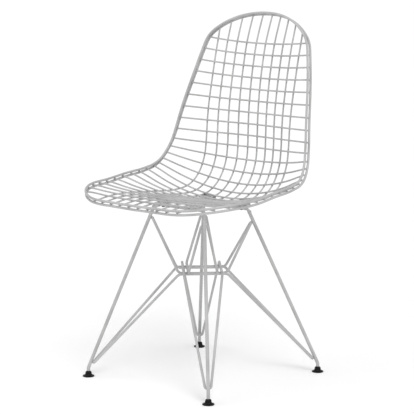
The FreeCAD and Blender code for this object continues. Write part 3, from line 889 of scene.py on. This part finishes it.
@dataclass
class LegHoop:
    """One bent leg hoop with a coined flat under each seat mount."""

    end: End
    coat: Material
    foot_y: float
    bar_y: float
    bar_half: float
    wire: Wire = Wire(8 * MM, sides=24)
    foot_x: float = 187 * MM
    leg_end: float = 13.3 * MM
    ankle_z: float = 21 * MM
    ankle_radius: float = 18 * MM
    shoulder_radius: float = 14 * MM
    mount_x: float = 49 * MM
    flat_length: float = 19 * MM
    flat_width: float = 13 * MM
    flat_thickness: float = 4 * MM
    flat_margin: float = 2 * MM
    flat_slope: float = 3.5 * MM
    step: float = 2.5 * MM
    cut: float = 0.6 * MM

    @property
    def bar_z(self) -> float:
        """Height of the bar's centre line."""
        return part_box(self.end.value + "_leg_hoop")[1].z - self.wire.diameter / 2

    def corner(self, hand: Hand) -> str:
        """Last words of the names at one of the legs, such as front_left."""
        return "%s_%s" % (self.end.value, hand.name.lower())

    def on_leg(self, hand: Hand, height: float) -> tuple[Vector, Vector]:
        """Point on a leg's straight part, and the leg's upward direction.

        Args:
            hand: Side of the chair.
            height: Height of the point.

        Returns:
            The point and the direction.
        """
        low = Vector((hand.value * self.foot_x, self.foot_y, self.ankle_z))
        high = Vector((hand.value * self.bar_half, self.bar_y, self.bar_z))
        up = (high - low).normalized()
        return low + up * ((height - low.z) / up.z), up

    def coin(self, mesh: Mesh) -> None:
        """Press the bar flat and wide under each mount.

        Args:
            mesh: Mesh of the hoop.
        """
        spots = np.array([v.co for v in mesh.vertices])
        width = self.wire.diameter
        off = np.abs(np.abs(spots[:, 0]) - self.mount_x)
        share = np.clip((self.flat_length / 2 + self.flat_margin - off) / self.flat_slope, 0, 1)
        share = share * share * (3 - 2 * share)
        ahead, rise = spots[:, 1] - self.bar_y, spots[:, 2] - self.bar_z
        near = (np.abs(ahead) < width) & (np.abs(rise) < width)
        share = np.where(near, share, 0.0)
        half = width / 2 + (self.flat_thickness - width) / 2 * share
        spots[:, 2] = np.where(near, self.bar_z + np.clip(rise, -half, half), spots[:, 2])
        spots[:, 1] = self.bar_y + ahead * (1 + (self.flat_width / width - 1) * share)
        mesh.vertices.foreach_set("co", spots.ravel())

    def build(self) -> None:
        """Make the hoop."""
        corners = [Vector((-self.foot_x, self.foot_y, z)) for z in (self.leg_end, self.ankle_z)]
        corners.append(Vector((-self.bar_half, self.bar_y, self.bar_z)))
        corners += [Vector((-c.x, c.y, c.z)) for c in reversed(corners)]
        radii = [0, self.ankle_radius, self.shoulder_radius]
        line = bent_path(corners, radii + radii[::-1], False, self.step)
        node = self.end.value + "_leg_hoop"
        made = self.wire.draw("bent_" + node, [line], False, self.coat, self.cut)
        self.coin(made.data)
        fitted(made, [node])


@dataclass
class StrutLoop:
    """Closed strut wire along one diagonal, an eye welded inside each of its two legs."""

    name: str
    hoops: dict[End, LegHoop]
    coat: Material
    wire: Wire
    front: Hand
    half_gap: float
    half_run: float
    height: float
    weld_heights: dict[End, float]
    eye_half: float = 6.5 * MM
    eye_radius: float = 6.2 * MM
    bend_radius: float = 15 * MM
    middle_y: float = -4.6 * MM
    step: float = 12 * MM
    bead_rise: float = 1.7 * MM
    bead_depth: float = 0.5 * MM

    def build(self) -> tuple[np.ndarray, list[Contact]]:
        """Make the loop.

        Returns:
            Its centre line, and the contacts of its eyes with the legs.
        """
        feet = {End.FRONT: self.front, End.REAR: Hand(-self.front.value)}
        ground = [Vector((feet[end].value * self.hoops[end].foot_x, self.hoops[end].foot_y, 0))
                  for end in End]
        ahead = (ground[1] - ground[0]).normalized()
        aside = Vector((-ahead.y, ahead.x, 0))
        middle = Vector((0, self.middle_y, self.height))
        corners, contacts = [], []
        for sign, end in zip((-1, 1), End):
            spot, along = self.hoops[end].on_leg(feet[end], self.weld_heights[end])
            inward = along.cross(aside).normalized()
            if inward.dot(ahead) * sign > 0:
                inward.negate()
            leg = self.hoops[end].wire.diameter
            eye = spot + inward * ((leg + self.wire.diameter) / 2 - SINK)
            run_end = middle + ahead * (sign * self.half_run)
            gap, half = aside * (sign * self.half_gap), aside * (sign * self.eye_half)
            corners += [run_end - gap, eye - half, eye + half, run_end + gap]
            touch = spot + inward * (leg / 2 + self.bead_depth)
            for up in (-self.bead_rise, self.bead_rise):
                contacts.append(Contact(touch + along * up, inward, aside))
        radii = [self.bend_radius, self.eye_radius, self.eye_radius, self.bend_radius] * 2
        line = bent_path(corners, radii, True, self.step)
        made = self.wire.draw("bent_" + self.name, [line], True, self.coat)
        fitted(made, [self.name])
        return line, contacts


@dataclass
class StrutBase:
    """The four strut loops, the nuggets where they cross and the beads at their eyes."""

    hoops: dict[End, LegHoop]
    coat: Material
    wire: Wire = Wire(6 * MM, sides=18)
    left_z: float = 249 * MM
    right_z: float = 249 * MM + 6 * MM - SINK  # the right loops lie on the left ones
    lower_weld_z: float = 36 * MM
    upper_weld_drop: float = 30 * MM
    lower_gap: float = 44 * MM
    upper_gap: float = 33.5 * MM
    left_run: float = 56 * MM
    lower_right_run: float = 77 * MM
    upper_right_run: float = 68.5 * MM
    eye_nugget: Nugget = Nugget(7.5 * MM, 3.6 * MM, 3.2 * MM, 14)
    cross_nugget: Nugget = Nugget(6.2 * MM, 6.2 * MM, 2.2 * MM, 14)

    def loops(self) -> list[StrutLoop]:
        """Give each loop its sizes.

        Returns:
            The two loops from the front left leg, then the other two.
        """
        low = (self.lower_gap, {end: self.lower_weld_z for end in End})
        high = (self.upper_gap, {end: self.hoops[end].bar_z - self.upper_weld_drop for end in End})
        rows = (("lower_strut_left", Hand.LEFT, self.left_run, self.left_z, low),
                ("upper_strut_left", Hand.LEFT, self.left_run, self.left_z, high),
                ("lower_strut_right", Hand.RIGHT, self.lower_right_run, self.right_z, low),
                ("upper_strut_right", Hand.RIGHT, self.upper_right_run, self.right_z, high))
        return [StrutLoop(name, self.hoops, self.coat, self.wire, hand, gap, run, height, welds)
                for name, hand, run, height, (gap, welds) in rows]

    def runs(self, lines: Sequence[np.ndarray], height: float) -> list[np.ndarray]:
        """Level runs of loops, each side of a loop on its own.

        Args:
            lines: Centre lines of the loops.
            height: Height of the runs.

        Returns:
            The points of each run.
        """
        found = []
        for line in lines:
            level = line[np.abs(line[:, 2] - height) < LEVEL_GAP]
            ahead = np.linalg.svd(level - level.mean(axis=0))[2][0]
            across = level @ np.array([-ahead[1], ahead[0], 0.0])
            found += [level[across > across.mean()], level[across < across.mean()]]
        return found

    def build(self) -> None:
        """Make the loops and their welds."""
        made = [loop.build() for loop in self.loops()]
        beads = [contact for _, contacts in made for contact in contacts]
        self.eye_nugget.weld("eye_welds", beads, self.coat)
        lines = [line for line, _ in made]
        left, right = self.runs(lines[:2], self.left_z), self.runs(lines[2:], self.right_z)
        crossings = contacts_between(left, right, (self.wire, self.wire))
        self.cross_nugget.weld("strut_welds", crossings, self.coat)


@dataclass
class SeatMounts:
    """Rubber pads, welded plates and button head screws that hold the shell on the hoops."""

    nodes: dict[str, Object]
    coat: Material
    rubber: Material
    oxide: Material
    hoops: dict[End, LegHoop]
    lengthwise: list[np.ndarray]
    pad_edge: float = 1.1 * MM
    plate_edge: float = 0.5 * MM
    screw_length: float = 17.5
    tip: Profile = ((0, 0), (1.9, 0), (2.15, -0.2))
    thread_start: float = 0.5
    thread_length: float = 6
    thread_points: int = 12
    pitch: float = 0.8
    root: float = 2.1
    crest: float = 2.45
    shank: float = 2.5
    head: Profile = ((4.6, 0), (4.75, -0.15), (4.75, -0.6), (4.6, -1.1), (4.2, -1.75),
                     (3.6, -2.3), (2.9, -2.65), (2.2, -2.8))
    key: Profile = ((1.62, -2.8), (1.5, -2.68), (1.5, -1.25))
    key_floor: float = -0.85
    bead: Nugget = Nugget(8 * MM, 3 * MM, 2.6 * MM)
    bead_points: int = 2
    bead_aside: float = 17 * MM
    bead_reach: float = 20 * MM
    bead_down: float = 1.75 * MM
    bead_out: float = 1.5 * MM

    def screw(self) -> Object:
        """Make one screw with a threaded end and a hexagon socket.

        Returns:
            The screw, its head under height 0.
        """
        top = self.screw_length
        outline = [(radius, top + height) for radius, height in self.tip]
        for n in range(self.thread_points):
            radius = self.crest if n % 2 else self.root
            outline.append((radius, top - self.thread_start - self.pitch * n / 2))
        outline += [(self.shank, top - self.thread_length), (self.shank, 0), *self.head]
        rings = ringed(outline) + ringed(self.key, Section.HEXAGON) + ringed([(0, self.key_floor)])
        return turned("button_screw", rings, Vector(), self.oxide)

    def plate_beads(self, node: str) -> list[Contact]:
        """Places of the weld beads between a plate and the lengthwise wires over it.

        Args:
            node: Name of the plate's CAD node.

        Returns:
            A bead on each side of each wire, near both ends of the plate.
        """
        low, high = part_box(node)
        centre = (low + high) / 2
        found = []
        for line in self.lengthwise:
            off = np.linalg.norm(line - np.array(centre), axis=1)
            middle = off.argmin()
            if abs(line[middle, 0] - centre.x) > self.bead_aside or off.min() > self.bead_reach:
                continue
            for k in (middle - self.bead_points, middle + self.bead_points):
                along = Vector(line[k + 1] - line[k - 1]).normalized()
                down = (along * along.z - Vector((0, 0, 1))).normalized()
                side = along.cross(down)
                for out in (-self.bead_out, self.bead_out):
                    place = Vector(line[k]) + down * self.bead_down + side * out
                    found.append(Contact(place, down, along))
        return found

    def build(self) -> None:
        """Make the pads, the plates with their welds, and the screws."""
        blocks = (("soft_pad_", "mount_pad_", self.pad_edge, self.rubber, PadRubber.slot),
                  ("coated_plate_", "mount_plate_", self.plate_edge, self.coat, PowderCoat.slot))
        places, beads = [], []
        for hoop, hand in product(self.hoops.values(), Hand):
            tail = hoop.corner(hand)
            for name, node, edge, finish, slot in blocks:
                block = softened_hull(name + tail, self.nodes[node + tail], edge, finish)
                fitted(block, [node + tail])
            seat_z = hoop.bar_z - hoop.flat_thickness / 2
            places.append(Vector((hand.value * hoop.mount_x, hoop.bar_y, seat_z)))
            beads += self.plate_beads("mount_plate_" + tail)
        prototype = self.screw()
        points = bpy.data.meshes.new("screw_places")
        points.from_pydata(places, [], [])
        values = {"Screw": prototype, "Finish": self.oxide}
        made = grown("button_screws", points, screw_tree(), values)
        bpy.data.objects.remove(prototype)
        fitted(made, ["mount_screws"])
        self.bead.weld("plate_welds", beads, self.coat)


@dataclass
class Foot:
    """Ball stud in a leg end, and the glide that tilts on it."""

    hand: Hand
    hoop: LegHoop
    nylon: Material
    zinc: Material
    ball: float = 4.5
    ball_z: float = 6.1
    socket: float = 4.56
    neck: float = 2.6
    collar: float = 0.25
    shank: float = 2.0
    shank_length: float = 8
    mouth: float = 3.7
    outside: Profile = (
        (0, 0), (12.2, 0), (12.7, 0.08), (13.1, 0.3), (13.38, 0.65), (13.5, 1.1), (13.5, 1.9),
        (13.36, 2.25), (13, 2.5), (12.2, 2.72), (11, 3), (9.9, 3.45), (8.9, 4.15),
        (8.15, 5.1), (7.65, 6.1), (7.45, 7), (7.35, 8.4), (7.1, 9.8), (6.75, 10.8), (6.25, 11.6),
        (5.6, 12.2), (4.9, 12.53), (4.4, 12.6), (4, 12.5), (3.76, 12.25), (3.7, 11.9))

    def stud_rings(self) -> list[Ring]:
        """Rings of the stud.

        Returns:
            The rings from under its ball up its neck, collar and shank.
        """
        low = self.hoop.leg_end / MM
        top = low + self.shank_length
        neck = math.degrees(math.asin(self.neck / self.ball))
        ball = arc(self.ball, self.ball_z, 0, 180 - neck, parts=14)
        return ringed([*ball, (self.neck, low - self.collar), (self.neck, low), (self.shank, low),
                       (self.shank, top), (0, top)])

    def glide_rings(self) -> list[Ring]:
        """Rings of the glide, from under its middle up its outside and down into its socket."""
        mouth = 180 - math.degrees(math.asin(self.mouth / self.socket))
        return ringed([*self.outside, *arc(self.socket, self.ball_z, mouth, 0, parts=12)])

    def build(self) -> None:
        """Make the stud and the glide."""
        tail = self.hoop.corner(self.hand)
        centre = Vector((self.hand.value * self.hoop.foot_x, self.hoop.foot_y, 0)) / MM
        stud = turned("turned_stud_" + tail, self.stud_rings(), centre, self.zinc)
        fitted(stud, ["foot_stud_" + tail])
        glide = turned("moulded_glide_" + tail, self.glide_rings(), centre, self.nylon, 64)
        fitted(glide, ["glide_" + tail], tail + "_glide")


@dataclass
class Studio:
    """Plain pale matt floor, soft light and the photograph's camera.

    Each sun has a name, a strength, and a width, tilt and turn in degrees.
    """

    camera_place: tuple[float, float, float] = (2.8463, -3.1882, 1.1086)
    yaw: float = 41.638
    pitch: float = -9.4495
    lens_mm: float = 163.02
    clip: tuple[float, float] = (0.05, 200)
    floor_half: float = 60.0
    floor_tone: str = "FCFCFC"
    sky_strength: float = 0.66
    suns: Sequence[tuple] = (("key", 1.24, 30, 38, 62), ("fill", 0.54, 60, 50, -40))

    def build(self) -> None:
        """Make the floor, the lights and the camera."""
        scene = bpy.context.scene
        floor = bpy.data.meshes.new("floor")
        h = self.floor_half
        floor.from_pydata([(-h, -h, 0), (h, -h, 0), (h, h, 0), (-h, h, 0)], [], [(0, 1, 2, 3)])
        surface = Surface("studio_floor", roughness=0.9)
        surface.feed("Base Color", linear(self.floor_tone))
        floor.materials.append(surface.material)
        linked(floor)
        world = bpy.data.worlds.new("studio")
        world.use_nodes = True
        sky = world.node_tree.nodes["Background"]
        sky.inputs["Color"].default_value = (1, 1, 1, 1)
        sky.inputs["Strength"].default_value = self.sky_strength
        scene.world = world
        scene.view_settings.view_transform = "Standard"
        for name, strength, width, tilt, turn in self.suns:
            lamp = bpy.data.lights.new(name, "SUN")
            lamp.energy = strength
            lamp.angle = math.radians(width)
            light = linked(lamp)
            light.rotation_euler = (math.radians(tilt), 0, math.radians(turn))
        lens = bpy.data.cameras.new("camera")
        lens.lens = self.lens_mm
        lens.clip_start, lens.clip_end = self.clip
        camera = linked(lens)
        camera.location = self.camera_place
        camera.rotation_euler = (math.radians(90 + self.pitch), 0, math.radians(self.yaw))
        scene.camera = camera


def main() -> None:
    """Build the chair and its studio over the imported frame."""
    logging.basicConfig(level=logging.INFO, format="%(message)s")
    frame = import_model()
    nodes = frame["nodes"]
    finishes = (PowderCoat(), MouldedNylon(), PadRubber(), BlackOxide(), ZincSteel())
    coat, nylon, rubber, oxide, zinc = [finish.material() for finish in finishes]
    sizes = {
        End.FRONT: {"foot_y": -192.6 * MM, "bar_y": -81.6 * MM, "bar_half": 76 * MM},
        End.REAR: {"foot_y": 195.4 * MM, "bar_y": 78.4 * MM, "bar_half": 68.4 * MM},
    }
    hoops = {end: LegHoop(end, coat, **sizes[end]) for end in End}
    lengthwise = WireShell(nodes, coat).build()
    for hoop in hoops.values():
        hoop.build()
    StrutBase(hoops, coat).build()
    SeatMounts(nodes, coat, rubber, oxide, hoops, lengthwise).build()
    for hoop, hand in product(hoops.values(), Hand):
        Foot(hand, hoop, nylon, zinc).build()
    Studio().build()


if __name__ == "__main__":
    main()
